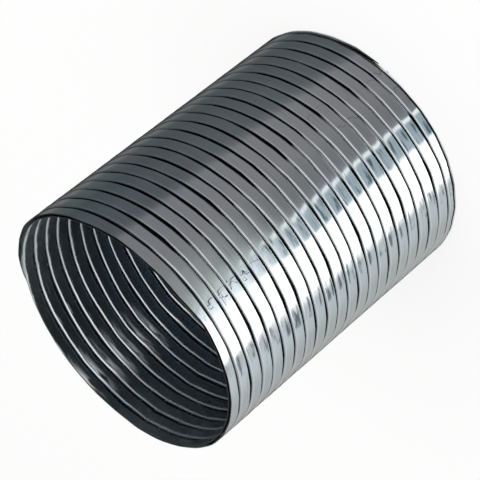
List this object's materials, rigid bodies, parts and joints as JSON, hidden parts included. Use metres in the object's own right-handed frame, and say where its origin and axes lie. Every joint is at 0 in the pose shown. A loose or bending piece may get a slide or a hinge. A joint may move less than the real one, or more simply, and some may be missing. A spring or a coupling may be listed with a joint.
{
  "type": "flexible exhaust pipe",
  "caption": "Short open length of strip-wound steel hose: one folded strip wound into a helix whose turns hook over each other, sawn at both ends.",
  "frame": {"origin": "middle of the bounding box at the lower, square end, where the pipe stands", "axes": "+Z along the pipe's axis towards the end with the raised lip, which leans towards +X and -Y at azimuth -35 degrees"},
  "size_m": [0.1062, 0.1052, 0.1326],
  "materials": {
    "strip": "satin stainless strip, cold rolled"
  },
  "bodies": {
    "root": {"wound_strip": "strip"}
  },
  "joints": []
}
